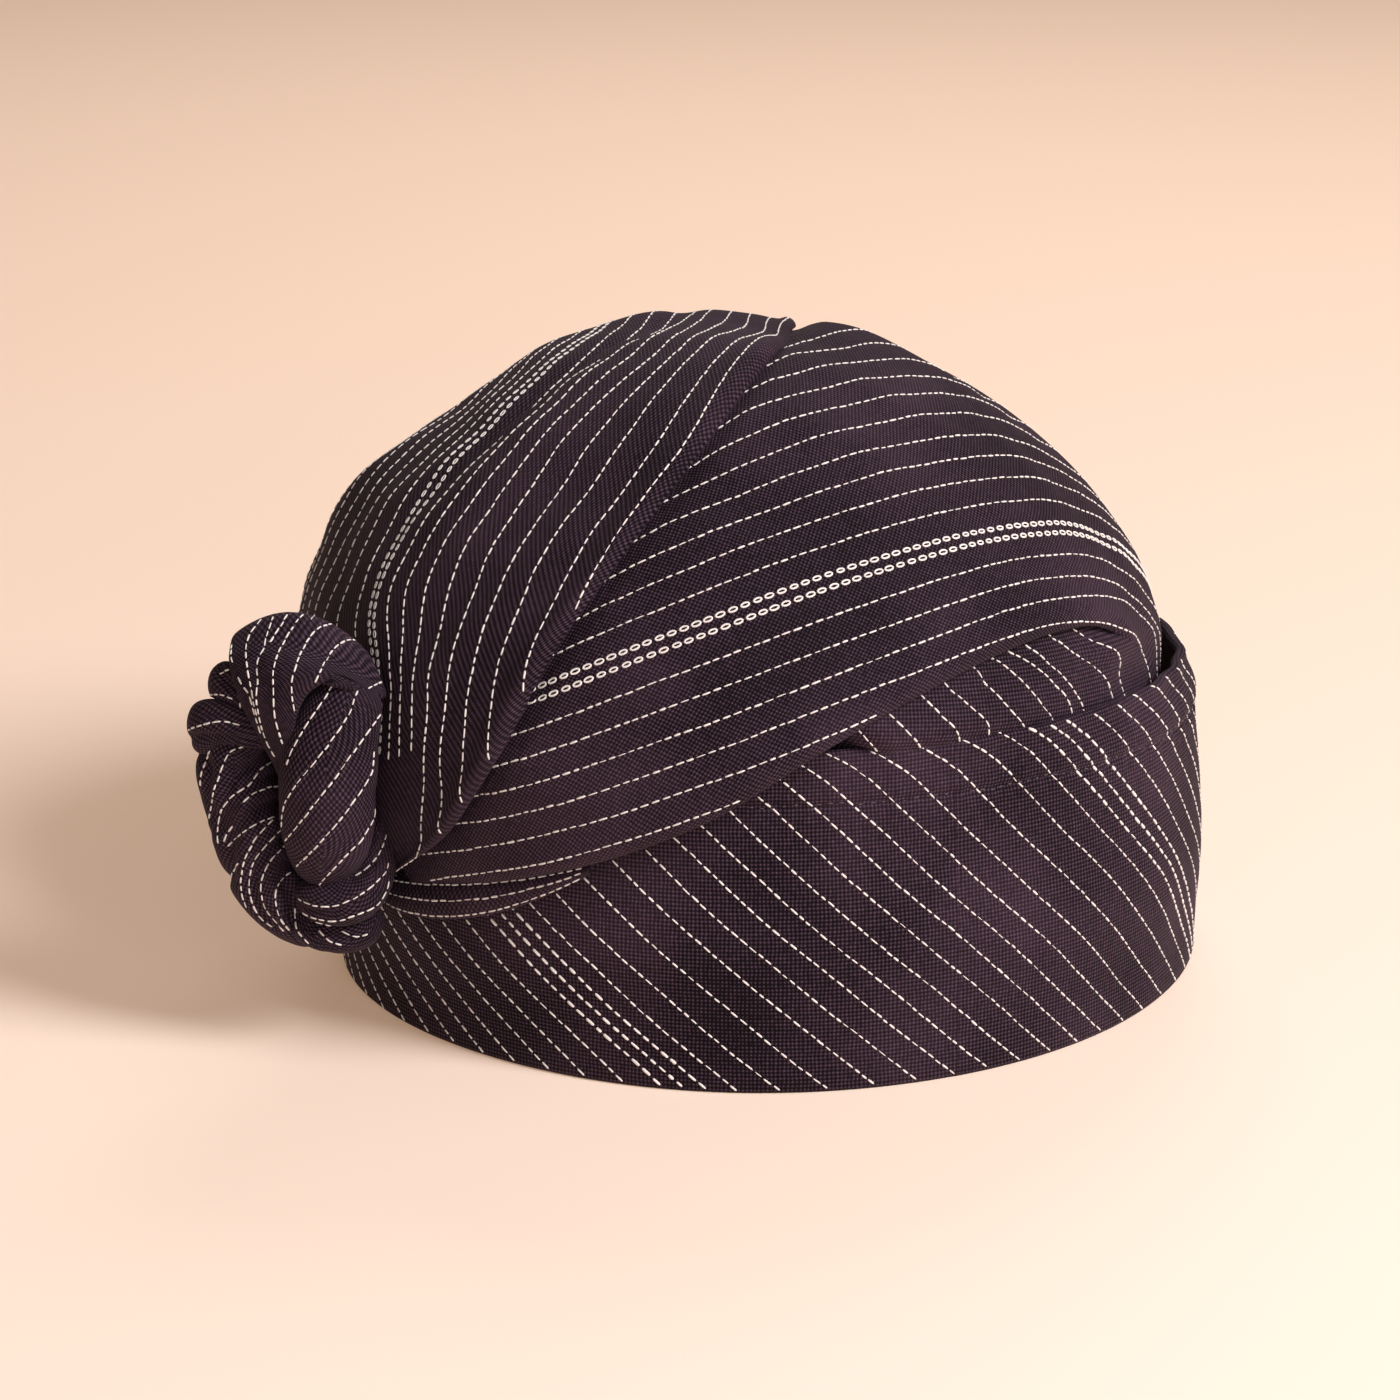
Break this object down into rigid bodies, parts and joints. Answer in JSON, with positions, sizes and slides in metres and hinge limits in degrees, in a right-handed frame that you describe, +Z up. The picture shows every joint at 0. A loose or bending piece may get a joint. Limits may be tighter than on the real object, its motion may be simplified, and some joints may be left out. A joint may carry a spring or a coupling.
{
  "type": "wrapped cloth cap",
  "caption": "Ready-tied head-wrap cap of dark striped cloth: stiff band, wrapped crown panels and a cloth knot at the back, worn on the head.",
  "frame": {"origin": "middle of the footprint, on the surface the rim rests on", "axes": "+X towards the front of the head, with the knot at the back on -X; +Z up"},
  "size_m": [0.2486, 0.1902, 0.1526],
  "materials": {
    "band": "matte",
    "crown_under": "matte",
    "crown_front": "matte",
    "crown_over": "matte",
    "tuck_roll": "matte",
    "knot_loop": "matte",
    "knot_strap": "matte",
    "knot_roll": "matte",
    "knot_base": "matte",
    "knot_fold": "matte",
    "knot_ring": "matte"
  },
  "bodies": {
    "root": {"band": "band", "crown_under": "crown_under", "crown_front": "crown_front", "crown_over": "crown_over", "tuck_roll": "tuck_roll", "knot_loop": "knot_loop", "knot_strap": "knot_strap", "knot_roll": "knot_roll", "knot_base": "knot_base", "knot_fold": "knot_fold", "knot_ring": "knot_ring"}
  },
  "joints": []
}
